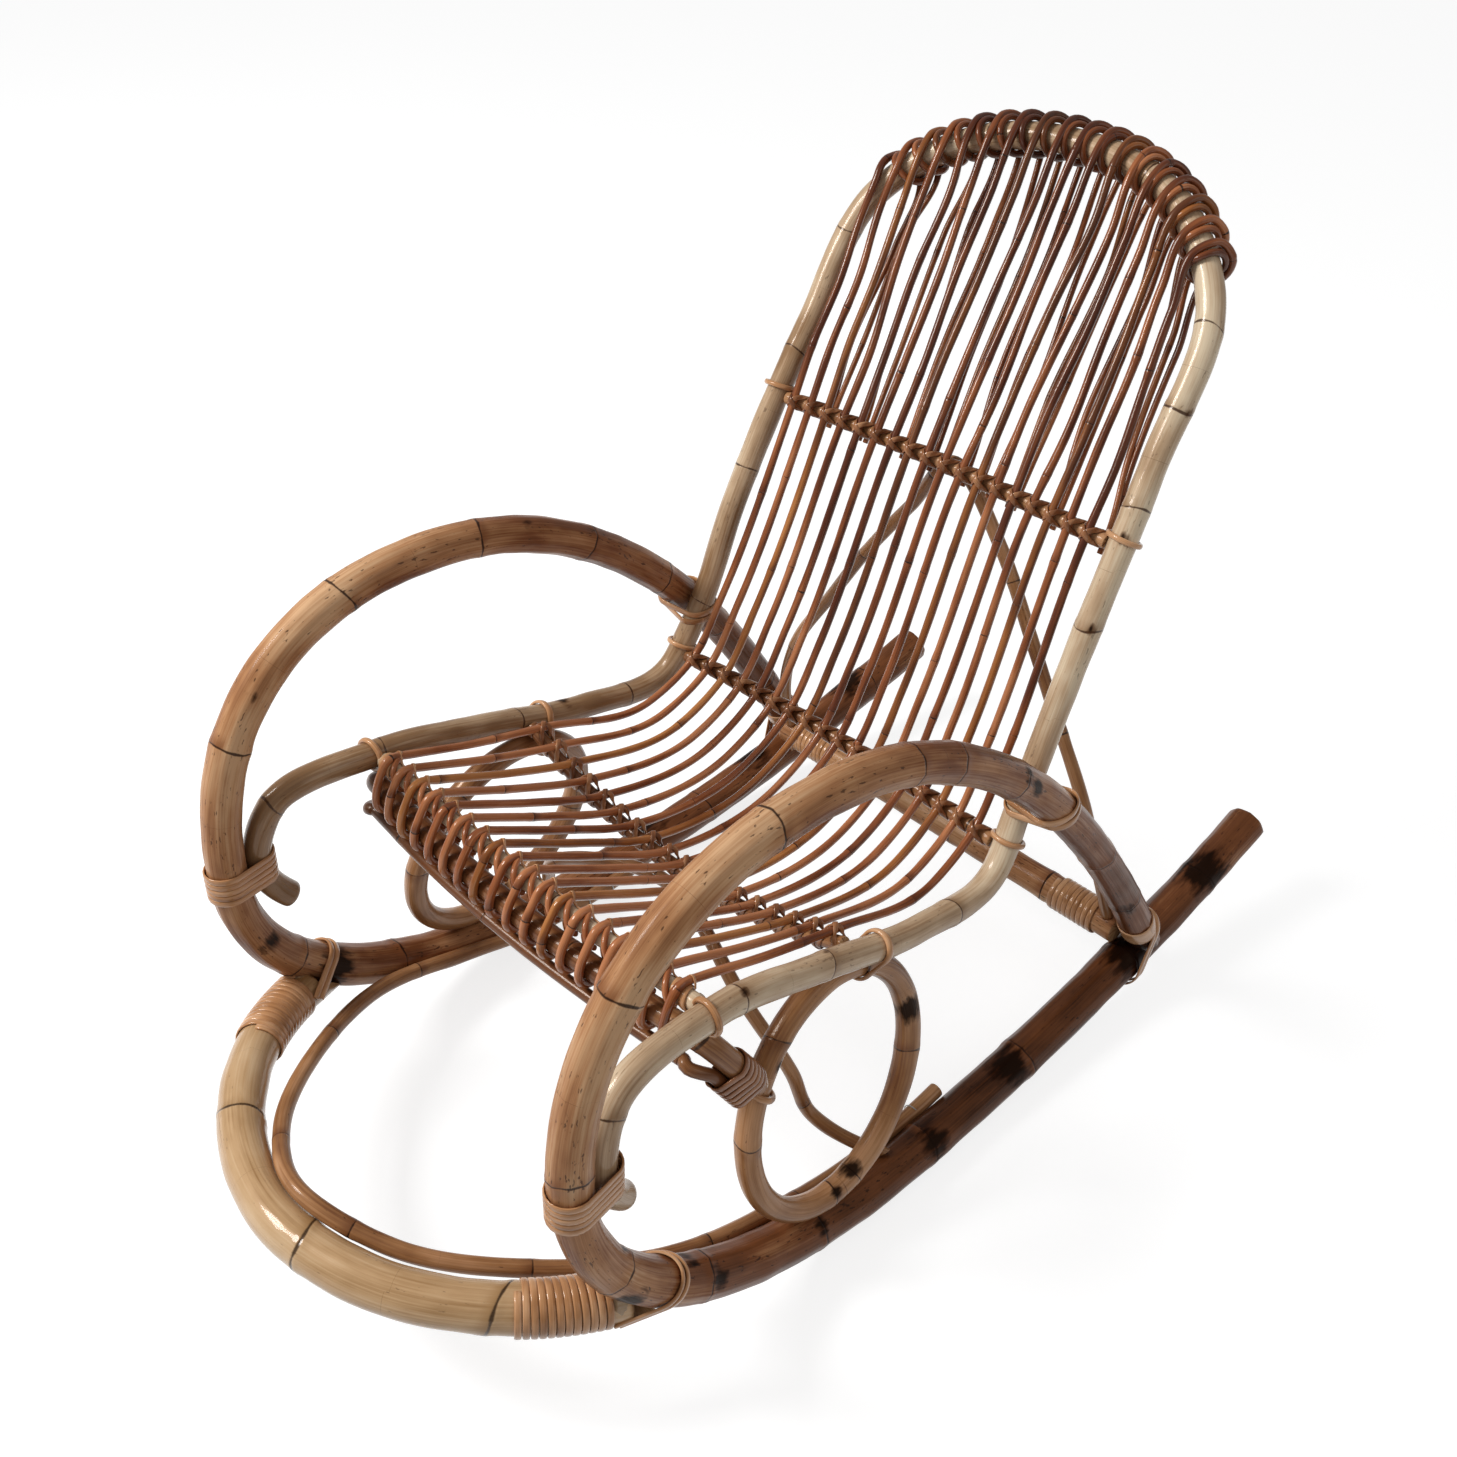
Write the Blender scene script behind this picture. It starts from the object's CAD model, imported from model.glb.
"""Rattan rocking chair: poles bent over a flame, rods and cane bindings, on a plain pale floor."""
import math
import bpy
import numpy as np
from mathutils import Matrix


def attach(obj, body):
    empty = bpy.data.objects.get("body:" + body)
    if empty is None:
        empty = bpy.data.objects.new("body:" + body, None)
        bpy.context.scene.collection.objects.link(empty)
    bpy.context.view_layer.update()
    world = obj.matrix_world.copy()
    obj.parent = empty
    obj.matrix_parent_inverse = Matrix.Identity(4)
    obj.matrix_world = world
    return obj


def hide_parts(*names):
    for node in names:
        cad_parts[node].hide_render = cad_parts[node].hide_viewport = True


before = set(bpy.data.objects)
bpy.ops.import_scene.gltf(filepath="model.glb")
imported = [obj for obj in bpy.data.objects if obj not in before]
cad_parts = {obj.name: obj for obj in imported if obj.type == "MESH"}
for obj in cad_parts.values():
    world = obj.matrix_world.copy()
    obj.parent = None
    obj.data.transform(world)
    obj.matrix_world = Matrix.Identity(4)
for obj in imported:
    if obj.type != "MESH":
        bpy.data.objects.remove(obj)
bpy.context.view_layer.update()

# Side poles: one thick rattan pole a side, skin left on, bent over a flame into runner, front bend
# and armrest. The flame leaves brown runners with charred patches, the bends show the cane's
# growth rings, and the whole is varnished. The foot of the arm stands on the runner.
# Sizes are in mm and counted from the floor contact; SET_BACK then centres the chair front to back.
SET_BACK = -19.294
ARM_R, RUNNER_R, ARM_SIDE, RUNNER_SIDE = 18, 22, 243, 264
TAIL_REACH, ROCKER_R = 595, 2150
FRONT_REACH, FRONT_H, LOW_FULLNESS, HIGH_FULLNESS = 419, 310, 2.1, 2.3
ARM_H, CROWN_REACH, FALL_R, FALL_REACH, FALL_SPREAD = 553, 190, 328, 556, 27
BEND_POINTS, FALL_POINTS = 120, 100
# A place this many mm from a growth ring shows no ring.
NO_RING = 99.0


def unit(v):
    v = np.asarray(v, float)
    return v / np.linalg.norm(v, axis=-1, keepdims=True)


def run_of(line):
    return np.r_[0, np.cumsum(np.linalg.norm(np.diff(line, axis=0), axis=1))]


def along(line, s):
    r = run_of(line)
    return np.stack([np.interp(s, r, line[:, i]) for i in range(3)], -1)


def heading(line, s):
    return unit(along(line, np.asarray(s) + 2) - along(line, np.asarray(s) - 2))


def flip(p):
    return np.asarray(p, float) * [-1, 1, 1]


def square_to(v, t):
    return unit(v - t * np.sum(v * t, -1, keepdims=True))


def carried_sides(line, closed=False):
    """Headings of a line and the two sides across it, carried along without twist."""
    t = unit(np.roll(line, -1, 0) - np.roll(line, 1, 0)) if closed else unit(np.gradient(line, axis=0))
    v = np.empty_like(t)
    v[0] = square_to(np.array([0, 1.0, 0]) if abs(t[0][0]) > 0.8 else np.array([1.0, 0, 0]), t[0])
    for i in range(1, len(t)):
        v[i] = square_to(v[i - 1], t[i])
    return t, v, np.cross(t, v)


def wander(rng, s, size, wave):
    """A slow irregular swing along a pole, as cane grows: mean zero, about size high."""
    out = np.zeros_like(s, float)
    for k in range(4):
        out += np.sin(s / wave * (1 + 0.63 * k) * 2 * np.pi + rng.uniform(0, 6.3)) / (1 + k)
    return out * size / 1.6


def rings_along(rng, length, first, last):
    """Where the growth rings sit: further apart up the cane, never even."""
    spots, s = [], rng.uniform(0.3, 0.9) * first
    while s < length - 12:
        spots.append(s)
        s += rng.uniform(0.8, 1.2) * (first + (last - first) * s / length)
    return spots


def cane_pole(name, line, radius, seed, growth=(150, 190), sides=28, step=4.0, closed=False, swell=0.04,
              rough=0.012, planed=0.0, slant=0.1, char=(), tone=0.5, start_cut=None, end_cut=None,
              rings=None):
    """A pole with its skin on: rings swell a little, thickness wanders, ends are cut and rounded.

    rings are mm along the line, char is scorch marks as (place, reach, strength), and tone is how brown
    the pole is from its start to its end, with 0.5 in the middle of the material's colours."""
    rng = np.random.default_rng(seed)
    line = np.asarray(line, float)
    total = run_of(line)[-1] if not closed else run_of(np.vstack([line, line[:1]]))[-1]
    spots = np.array(rings if rings is not None else rings_along(rng, total, *growth))
    s = np.linspace(0, total, int(total / step) + 1)
    fine = (spots[:, None] + np.array([-6, -3, -1.6, -0.7, 0, 0.7, 1.6, 3, 6])).ravel()
    s = np.unique(np.round(np.r_[s, fine[(fine > 0) & (fine < total)]], 2))
    s = s[np.r_[True, np.diff(s) > 0.35]]
    if closed:
        s = s[s < total - 1.5]
    path = np.vstack([line, line[:1]]) if closed else line
    r = np.interp(s, run_of(path)[[0, -1]] if np.isscalar(radius) else run_of(path),
                  [radius, radius] if np.isscalar(radius) else radius)
    ends = np.ones_like(s)
    if not closed:
        s = np.r_[0, 0, 0.6, s[1:-1], total - 0.6, total, total]
        r = np.r_[r[0], r[0], r[0], r[1:-1], r[-1], r[-1], r[-1]]
        ends = np.r_[0.02, 0.93, 0.985, ends[1:-1], 0.985, 0.93, 0.02]
    c = along(path, s)
    t, v, w = carried_sides(along(path, np.unique(s)), closed)
    if not closed:
        pick = np.searchsorted(np.unique(s), s)
        t, v, w = t[pick], v[pick], w[pick]
    tilt, turn = rng.uniform(-1, 1, len(spots)), rng.uniform(0, 6.3, len(spots))
    a = 2 * np.pi * np.arange(sides) / sides
    if len(spots):
        off = s[:, None, None] - spots[None, None, :] - slant * r[:, None, None] * (
            tilt * np.cos(a[None, :, None] - turn) + 0.3 * np.sin(2 * a[None, :, None] + turn))
        near = np.take_along_axis(off, np.abs(off).argmin(2)[..., None], 2)[..., 0]
    else:
        near = np.full((len(s), sides), NO_RING)
    shape = 1 + rough * np.array([wander(rng, s, 1, 83 + 21 * k) for k in range(2)]).sum(0)[:, None]
    shape = shape + rough * np.cos(2 * a + rng.uniform(0, 6))[None] * wander(rng, s, 1, 140)[:, None]
    shape = shape + swell * np.exp(-(near / 5.5) ** 2) - 0.45 * swell * np.exp(-(near / 0.9) ** 2)
    if planed:
        facet = np.cos((np.abs(a[None] * 9 / 2 / np.pi + wander(rng, s, 0.12, 400)[:, None]) % 1 - 0.5)
                       * 2 * np.pi / 9)
        shape = shape * (1 - planed * (1 - 0.985 / facet))
    reach = (r * ends)[:, None] * shape
    p = c[:, None] + reach[..., None] * (v[:, None] * np.cos(a)[None, :, None]
                                         + w[:, None] * np.sin(a)[None, :, None])
    for cut, rows in ((start_cut, slice(0, 3)), (end_cut, slice(-3, None))):
        if cut is not None:
            spot, n = np.asarray(cut[0], float), np.asarray(cut[1], float)
            lift = ((spot - p[rows]) @ n) / (t[rows] @ n)[:, None]
            p[rows] = p[rows] + t[rows][:, None] * lift[..., None]
    grain = np.stack([r[:, None] * np.cos(a), r[:, None] * np.sin(a),
                      s[:, None] + 37.0 * seed + np.zeros(sides)], -1)
    burn = np.zeros((len(s), sides))
    for spot, size, strength in char:
        burn = np.maximum(burn, strength * np.exp(-(np.linalg.norm(p - spot, axis=2) / size) ** 2))
    open_end = np.broadcast_to((ends < 0.95)[:, None], burn.shape)
    shade = np.broadcast_to(np.interp(s, np.linspace(0, total, len(tone)), tone)[:, None]
                            if not np.isscalar(tone) else np.full((len(s), 1), tone), burn.shape)
    return cane_mesh("rattan " + name, p, closed, skin=grain / 1000, ring=near, burn=burn,
                     cut_end=open_end, tone=shade)


def cane_mesh(name, p, closed=False, **marks):
    """A mesh from rows of points round a line, with the marks that the materials read."""
    n, m = p.shape[:2]
    i, j = np.meshgrid(np.arange(n if closed else n - 1), np.arange(m), indexing="ij")
    k, q = (i + 1) % n, (j + 1) % m
    faces = np.stack([i * m + j, i * m + q, k * m + q, k * m + j], -1).reshape(-1, 4).tolist()
    if not closed:
        faces += [list(range(m))[::-1], [(n - 1) * m + x for x in range(m)]]
    name = name.replace(" ", "_")
    mesh = bpy.data.meshes.new(name)
    mesh.from_pydata(((p.reshape(-1, 3) + [0, SET_BACK, 0]) / 1000).tolist(), [], faces)
    mesh.shade_smooth()
    for key, value in marks.items():
        value = np.asarray(value, np.float32)
        flat = mesh.attributes.new(key, "FLOAT_VECTOR" if value.ndim == 3 else "FLOAT", "POINT")
        flat.data.foreach_set("vector" if value.ndim == 3 else "value", value.ravel())
    piece = bpy.data.objects.new(name, mesh)
    bpy.context.scene.collection.objects.link(piece)
    return piece


def finish_piece(piece, material, slot, *nodes):
    piece.data.materials.append(material)
    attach(piece, "root")
    if nodes:
        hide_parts(*nodes)
    return piece


def from_hex(code):
    """The linear colour of an sRGB hex code."""
    parts = [int(code[i:i + 2], 16) / 255 for i in (1, 3, 5)]
    return tuple(c / 12.92 if c <= 0.04045 else ((c + 0.055) / 1.055) ** 2.4 for c in parts) + (1.0,)


def add(tree, kind, sockets=None, stops=None, **settings):
    """One shader node with its settings, its colour stops and what goes into its sockets."""
    n = tree.nodes.new("ShaderNode" + kind)
    for key, value in settings.items():
        setattr(n, key, value)
    for key, value in (sockets or {}).items():
        value = value.outputs[0] if isinstance(value, bpy.types.Node) else value
        if isinstance(value, bpy.types.NodeSocket):
            tree.links.new(value, n.inputs[key])
        else:
            n.inputs[key].default_value = value
    for k, (spot, colour) in enumerate(stops or []):
        stop = n.color_ramp.elements[k] if k < 2 else n.color_ramp.elements.new(spot)
        stop.position = spot
        stop.color = from_hex(colour) if isinstance(colour, str) else (colour,) * 3 + (1,)
    return n


def rattan_skin(name, pale, mid, deep, smoked, ring_colour, gloss=0.34, coat=0.2, blotch=(0.035, 0.11),
                streak=0.0016, ring_width=1.0, fleck=0.5, fleck_from=0.66, shine=0.28, pith="#A88660"):
    """Rattan with its skin on, varnished: silky streaks along the cane, flame-browned blotches, thin
    dark growth rings, charred patches, and pale porous pith where it is cut. Patterns are sized in
    metres across and along the cane, and the rings in mm."""
    m = bpy.data.materials.new(name)
    m.use_nodes = True
    t = m.node_tree
    t.nodes.clear()
    mark = {k: add(t, "Attribute", attribute_name=k) for k in ("skin", "ring", "burn", "cut_end", "tone")}
    skin = mark["skin"].outputs["Vector"]
    ring, burn, cut_end, tone = (mark[k].outputs["Fac"] for k in ("ring", "burn", "cut_end", "tone"))
    times, less, times_plus = ({"operation": kind} for kind in ("MULTIPLY", "SUBTRACT", "MULTIPLY_ADD"))
    soft = {"interpolation_type": "SMOOTHSTEP"}

    def mottle(across, length, shift=0.0, detail=3.0):
        """Noise in spots across by length metres, stretched along the cane."""
        spots = add(t, "VectorMath", {0: skin, 1: (1 / across, 1 / across, 1 / length)}, **times)
        spots = add(t, "VectorMath", {0: spots, 1: (shift, shift, shift)}, operation="ADD")
        return add(t, "TexNoise", {"Vector": spots, "Scale": 1.0, "Detail": detail})

    # Brown comes in long blotches and short patches, under silky streaks.
    streaks = mottle(streak, 0.09)
    blotches = mottle(*blotch, shift=7.0)
    patches = mottle(0.012, 0.04, shift=31.0)
    shade = add(t, "Math", {0: tone, 1: 0.5}, **less)
    for part, share in ((blotches, 0.55), (streaks, 0.28), (patches, 0.17)):
        shade = add(t, "Math", {0: part, 1: share, 2: shade}, **times_plus)
    base = add(t, "ValToRGB", {"Fac": shade}, stops=[(0.37, pale), (0.95, smoked), (0.49, mid), (0.64, deep)])

    # Flecks are short dark pits that come in groups.
    groups = add(t, "Math", {0: mottle(0.02, 0.05, shift=83.0), 1: 0.62}, **less)
    flecks = mottle(0.0024, 0.008, shift=57.0, detail=2.0)
    flecks = add(t, "Math", {0: groups, 1: 0.45, 2: flecks}, **times_plus)
    flecks = add(t, "MapRange", {"Value": flecks, 1: fleck_from, 2: fleck_from + 0.07}, **soft)

    # A growth ring is a thin wavering line, with a brown halo on the side of it that the flame reached.
    waver = add(t, "Math", {0: patches, 1: 0.5}, **less)
    off = add(t, "Math", {0: ring}, operation="ABSOLUTE")
    off = add(t, "Math", {0: waver, 1: 3.0, 2: off}, **times_plus)
    line = add(t, "MapRange", {"Value": off, 1: ring_width, 2: ring_width * 0.2}, **soft)
    halo = 0.75
    for part, low, high in ((ring, 14.0, 0.5), (ring, -1.5, 0.2), (blotches, 0.4, 0.52)):
        side = add(t, "MapRange", {"Value": part, 1: low, 2: high}, **soft)
        halo = add(t, "Math", {0: side, 1: halo}, **times)

    # Scorch marks have ragged soft edges, brown outside and black inside, and lose their gloss.
    ragged = add(t, "Math", {0: mottle(0.006, 0.022, shift=11.0), 1: 0.5}, **less)
    scorch = add(t, "Math", {0: ragged, 1: 1.7, 2: burn}, **times_plus)
    near = add(t, "MapRange", {"Value": burn, 1: 0.02, 2: 0.25}, **soft)
    scorch = add(t, "Math", {0: scorch, 1: near}, **times)
    pores = add(t, "MapRange", {"Value": mottle(0.0011, 0.0011, shift=5.0), 1: 0.42, 2: 0.62}, **soft)
    for share, tint in (
            (halo, deep),
            (add(t, "Math", {0: flecks, 1: fleck}, **times), ring_colour),
            (add(t, "Math", {0: line, 1: 0.92}, **times), ring_colour),
            (add(t, "MapRange", {"Value": scorch, 1: 0.12, 2: 0.6, 4: 0.75}, **soft), smoked),
            (add(t, "MapRange", {"Value": scorch, 1: 0.5, 2: 0.8, 4: 0.9}, **soft), "#1A0D07"),
            (add(t, "MapRange", {"Value": cut_end, 1: 0.4, 2: 0.6}, **soft), pith),
            (add(t, "Math", {0: cut_end, 1: pores}, **times), deep)):
        base = add(t, "Mix", {0: share, 6: base, 7: from_hex(tint)}, data_type="RGBA").outputs[2]
    height = 0.0
    for part, share in ((streaks, 0.35), (line, -0.6), (flecks, -0.5)):
        height = add(t, "Math", {0: part, 1: share, 2: height}, **times_plus)
    rough = {"Value": streaks, 1: 0.3, 2: 0.7, 3: gloss - 0.07, 4: gloss + 0.12}
    charred = {"Value": scorch, 1: 0.2, 2: 0.7}
    shader = add(t, "BsdfPrincipled", {
        "Base Color": base,
        "Roughness": add(t, "MapRange", rough, **soft),
        "Specular IOR Level": add(t, "MapRange", {**charred, 3: shine, 4: 0.06}, **soft),
        "Specular Tint": from_hex("#FFE2C8"),
        "Coat Weight": add(t, "MapRange", {**charred, 3: coat, 4: 0.0}, **soft),
        "Coat Roughness": 0.1,
        "Normal": add(t, "Bump", {"Height": height, "Strength": 0.35, "Distance": 0.0005})})
    add(t, "OutputMaterial", {"Surface": shader})
    return m


def lean_x(z):
    return ARM_SIDE + (RUNNER_SIDE - ARM_SIDE) * np.maximum(0, 1 - z / FRONT_H)


def fall_at(d):
    """The armrest's fall to the rear, d mm behind its crown."""
    x, z = ARM_SIDE + FALL_SPREAD * (d / FALL_REACH) ** 2, ARM_H - d ** 2 / (2 * FALL_R)
    return np.stack([x, d - CROWN_REACH, z], -1)


y = np.linspace(TAIL_REACH, 0, BEND_POINTS, endpoint=False)
z = RUNNER_R + ROCKER_R - np.sqrt(ROCKER_R ** 2 - y ** 2)
rocker = np.stack([lean_x(z), y, z], -1)
a = np.radians(np.linspace(0, 90, BEND_POINTS, endpoint=False))
z = FRONT_H - (FRONT_H - RUNNER_R) * np.cos(a) ** (2 / LOW_FULLNESS)
low_bend = np.stack([lean_x(z), -FRONT_REACH * np.sin(a) ** (2 / LOW_FULLNESS), z], -1)
y = -CROWN_REACH - (FRONT_REACH - CROWN_REACH) * np.cos(a) ** (2 / HIGH_FULLNESS)
z = FRONT_H + (ARM_H - FRONT_H) * np.sin(a) ** (2 / HIGH_FULLNESS)
top_bend = np.stack([ARM_SIDE + 0 * a, y, z], -1)
side_line = np.vstack([rocker, low_bend, top_bend, fall_at(np.linspace(0, FALL_REACH, FALL_POINTS))])
side_radius = np.r_[np.full(BEND_POINTS, float(RUNNER_R)),
                    np.interp(low_bend[:, 2], [100, 270], [RUNNER_R, ARM_R]),
                    np.full(BEND_POINTS + FALL_POINTS, float(ARM_R))]
# The arm's foot is sawn to the slope of the runner's top, where it stands.
foot_normal = unit([0, FALL_REACH - CROWN_REACH, -ROCKER_R])
foot_seat = np.array([260.38, 362.26, 75.37])
# Thick rattan bent over a flame, thin varnish: deep brown with honey showing through, soot-black
# where it charred, and a low broken gloss.
scorched_rattan = rattan_skin("flame-bent rattan pole, varnished", "#D2A880", "#B28058", "#7C4A2B", "#2A1208",
                              "#23100A", coat=0.1, ring_width=1.5, fleck=0.7, fleck_from=0.6, shine=0.12)
near_char = [((277, 10, 39), 16, 1.0), ((269, 344, 70), 26, 1.2), ((266, 491, 100), 30, 1.1),
             ((271, 138, 47), 22, 1.1), ((276, -288, 108), 10, 1.1), ((268, -384, 164), 13, 1.1),
             ((245, -436, 287), 9, 0.9), ((257, -306, 133), 9, 0.9), ((267, 99, 432), 12, 0.8),
             ((277, -154, 55), 9, 0.9), ((278, 299, 166), 13, 0.75), ((264, 86, 450), 9, 0.6),
             ((236, -330, 520), 6, 0.8), ((253, -377, 214), 9, 0.8)]
far_char = [((-270, 300, 60), 24, 1.1), ((-266, 470, 95), 26, 1.0), ((-272, 120, 46), 22, 1.0),
            ((-240, -330, 130), 22, 1.1), ((-236, -395, 215), 12, 0.9), ((-250, 90, 430), 14, 0.9),
            ((-262, -120, 50), 16, 1.0), ((-228, -60, 548), 8, 1.0), ((-226, -10, 533), 6, 1.0),
            ((-240, -404, 430), 7, 0.9), ((-232, -370, 490), 6, 0.9)]
near_rings = [103, 254, 439, 593, 762, 915, 1042, 1190, 1354, 1517, 1675, 1737, 1847, 1960, 2086, 2203]
far_rings = [95, 238, 398, 560, 700, 862, 1010, 1160, 1302, 1470, 1621, 1766, 1905, 2040, 2190]
arm_tone = [0.6, 0.53, 0.45, 0.47, 0.52, 0.57, 0.6, 0.62, 0.68, 0.74]
near_tone = [0.68, 0.74, 0.82, 0.78, 0.84, 0.76, 0.67] + arm_tone
far_tone = [0.7, 0.74, 0.68, 0.66, 0.66, 0.62, 0.6] + arm_tone
for side, tag, seed, rings, char, tone in ((1, "right", 11, near_rings, near_char, near_tone),
                                           (-1, "left", 12, far_rings, far_char, far_tone)):
    finish_piece(cane_pole(f"side pole {tag}", side_line * [side, 1, 1], side_radius, seed, sides=32,
                           rings=rings, tone=tone, planed=0.8, slant=0.25, char=char, swell=0.035,
                           end_cut=(foot_seat * [side, 1, 1], foot_normal)),
                 scorched_rattan, "scorched_pole", f"side_pole_{tag}")


# Seat and back frame: one slimmer, paler pole with its skin on, from the curl at one front corner
# along the seat, up the back, over the arch and down to the other curl, barely flamed.
# GAP is the air left between pieces that only lie together.
FRAME_R, GAP = 13, 0.3


def bent(bends, step=3.0):
    """A fair line through bend points, each end slope taken from the neighbouring points."""
    p = np.asarray(bends, float)
    d = np.linalg.norm(np.diff(p, axis=0), axis=1)[:, None]
    k = np.diff(p, axis=0) / d
    slope = np.empty_like(p)
    slope[1:-1] = (k[:-1] * d[1:] + k[1:] * d[:-1]) / (d[:-1] + d[1:])
    slope[0], slope[-1] = 2 * k[0] - slope[1], 2 * k[-1] - slope[-2]
    out = []
    for i in range(len(d)):
        t = np.linspace(0, 1, max(2, int(d[i, 0] / step)), endpoint=False)[:, None]
        out.append(p[i] * (2 * t ** 3 - 3 * t ** 2 + 1) + slope[i] * d[i] * (t ** 3 - 2 * t ** 2 + t)
                   + p[i + 1] * (3 * t ** 2 - 2 * t ** 3) + slope[i + 1] * d[i] * (t ** 3 - t ** 2))
    return np.vstack(out + [p[-1:]])


def both_sides(half):
    """Bend points of a whole symmetrical line, from the half that ends in the middle."""
    half = np.asarray(half, float)
    return np.vstack([half, flip(half[-2::-1])])


curl_y = ARM_R + FRAME_R + GAP - FRONT_REACH
frame_line = bent(both_sides([
    [238, curl_y + 24, 253], [243, curl_y, 300], [236, curl_y + 19, 365], [228, -258, 374],
    [230, -135, 342], [232, -4, 303], [228, 112, 297], [221, 149, 356], [218, 200, 479], [209, 291, 656],
    [194, 363, 779], [116.4, 409, 841], [52.4, 425, 857], [0, 431, 859]]))
crown = run_of(frame_line)[-1] / 2
# Slim rattan that saw little flame, under varnish: straw-pale skin with grey-brown streaks, fine
# dark rings and a wet gloss.
pale_rattan = rattan_skin("slim rattan pole, skin on, varnished", "#DFCBAD", "#C3A686", "#92704F", "#54351F",
                          "#3E2415", gloss=0.28, coat=0.3, fleck=0.45, fleck_from=0.63, ring_width=1.3)
frame_rings = [115, 265, 372, 549, 700, 874, 986, 1079, 1152, 1320, 1500, 1677, 1808, 1938, 2090, 2240,
               2395, 2560, 2680]
frame_char = [((219, 249, 604), 6, 0.7), ((220, 313, 705), 5, 0.65), ((229, -125, 353), 5, 0.7),
              ((225, 212, 527), 6, 0.6), ((-232, -30, 322), 8, 0.9), ((-233, -150, 352), 6, 0.8),
              ((233, -229, 382), 5, 0.6)]
frame_tone = [0.52, 0.48, 0.5, 0.48, 0.46, 0.46, 0.5, 0.52, 0.55, 0.6, 0.66, 0.66, 0.62]
finish_piece(cane_pole("seat and back frame", frame_line, FRAME_R, 21, sides=26, rings=frame_rings,
                       slant=0.3, char=frame_char, tone=frame_tone),
             pale_rattan, "pale_pole", "seat_back_frame")

# Side rings: a slim pole bent full circle on each side, leaning back, standing on the runner and
# tied to the rail. The real ring's ends are scarfed together; here it is closed and shows no joint.
RING_R, RING_HALF_WIDTH, RING_HALF_HEIGHT, RING_LEAN = 12, 104, 118.5, math.radians(25)
RING_SIDE, RING_REACH, RING_H, RING_SPLAY = 241, 117, 188, 0.19


def ring_at(degrees):
    u, v = RING_HALF_WIDTH * np.cos(np.radians(degrees)), RING_HALF_HEIGHT * np.sin(np.radians(degrees))
    y = u * math.cos(RING_LEAN) + v * math.sin(RING_LEAN)
    z = v * math.cos(RING_LEAN) - u * math.sin(RING_LEAN)
    return np.stack([RING_SIDE - RING_SPLAY * z, y - RING_REACH, RING_H + z], -1)


# Slim rattan browned all over by the flame, varnished: an even warm brown with a satin gloss.
brown_rattan = rattan_skin("slim rattan pole, flame-browned, varnished", "#C09068", "#9F7048", "#6E4226",
                           "#2A170E", "#2A170E", gloss=0.32, fleck=0.6, fleck_from=0.64, ring_width=1.3)
ring_line = ring_at(168 + np.arange(0, 360, 1.0))
near_ring_char = [((246, -17, 219), 14, 1.2), ((264, -107, 86), 10, 1.1), ((271, -133, 81), 6, 1.0),
                  ((238, -185, 265), 7, 0.9)]
far_ring_char = [(flip(spot), reach, strength) for spot, reach, strength in near_ring_char[:2]]
for side, tag, seed, char in ((1, "right", 31, near_ring_char), (-1, "left", 32, far_ring_char)):
    finish_piece(cane_pole(f"side ring {tag}", ring_line * [side, 1, 1], RING_R, seed, sides=24, closed=True,
                           rings=[60, 237, 267, 405, 560, 672], slant=0.3, char=char,
                           tone=[0.48, 0.45, 0.5, 0.55, 0.48]),
                 brown_rattan, "brown_pole", f"side_ring_{tag}")

# Foot bow: the thickest pole, bent across the front, its hollowed ends set against the side poles.
# The skin is olive and glossy, with bold growth rings and little flame.
# The knee is the place on the side pole's middle line where an end rests, seat and normal its cut.
BOW_R, KNEE_R = 21.5, 21.44
knee = np.array([255.6, -328.72, 124.0])
knee_seat, knee_normal = np.array([242.55, -339.55, 110.4]), unit([0.600255, 0.498035, 0.625824])
bow_line = bent(both_sides([[242.6, -361.72, 124.5], [179, -462, 139], [91, -521, 144], [0, -541, 149]]))
# Thick rattan, hardly flamed, well varnished: olive straw with long highlights and wide dark rings.
olive_rattan = rattan_skin("thick rattan pole, skin on, varnished", "#D4B58F", "#C09C73", "#977146",
                           "#4A2E1A", "#33200F", gloss=0.25, coat=0.4, blotch=(0.05, 0.14), ring_width=2.2,
                           fleck=0.4)
finish_piece(cane_pole("foot bow", bow_line, BOW_R, 41, sides=36, rings=[112, 282, 448, 590], slant=0.55,
                       start_cut=(knee_seat, knee_normal), end_cut=(flip(knee_seat), flip(knee_normal)),
                       tone=[0.5, 0.48, 0.5, 0.54, 0.56]),
             olive_rattan, "varnished_pole", "foot_bow")

# Inner bow: a thin pole along the inner sides of the runners and up onto the foot bow, its ends
# cut off behind the side rings.
INNER_R = 8
inner_line = bent(both_sides([
    [232.7, 66, 34], [232.7, -99, 34], [231.7, -175, 54], [220.7, -293, 90], [166, -402, 119],
    [87, -485, 146], [0, -519.2, 170.8]]))
finish_piece(cane_pole("inner bow", inner_line, INNER_R, 43, (140, 170), 20),
             brown_rattan, "brown_pole", "inner_bow")

# Cross bars: upper and lower front bar, thin under bow, the bars under the seat, at the lumbar
# bend and halfway up the back, all rattan with its skin on, bowed between the rails.
UPPER_R, SEAT_BAR_R, LUMBAR_R, BACK_BAR_R = 8, 7, 7.5, 7
UPPER_BOW, SEAT_BOW, LUMBAR_BOW, BACK_BOW = 8, 50, 10, 8
UPPER_HALF, SEAT_HALF, LUMBAR_HALF, BACK_HALF = 213.98, 215.42, 211.0, 199.43
UPPER_END = 213.9
upper_at, seat_at = np.array([228.12, -260.31, 374.2]), np.array([231.08, -85.18, 325.99])
lumbar_at, back_at = np.array([225.16, 128.53, 318.24]), np.array([213.57, 254.91, 589.49])


def bow_radius(half, bow):
    return (half ** 2 + bow ** 2) / (2 * bow)


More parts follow.
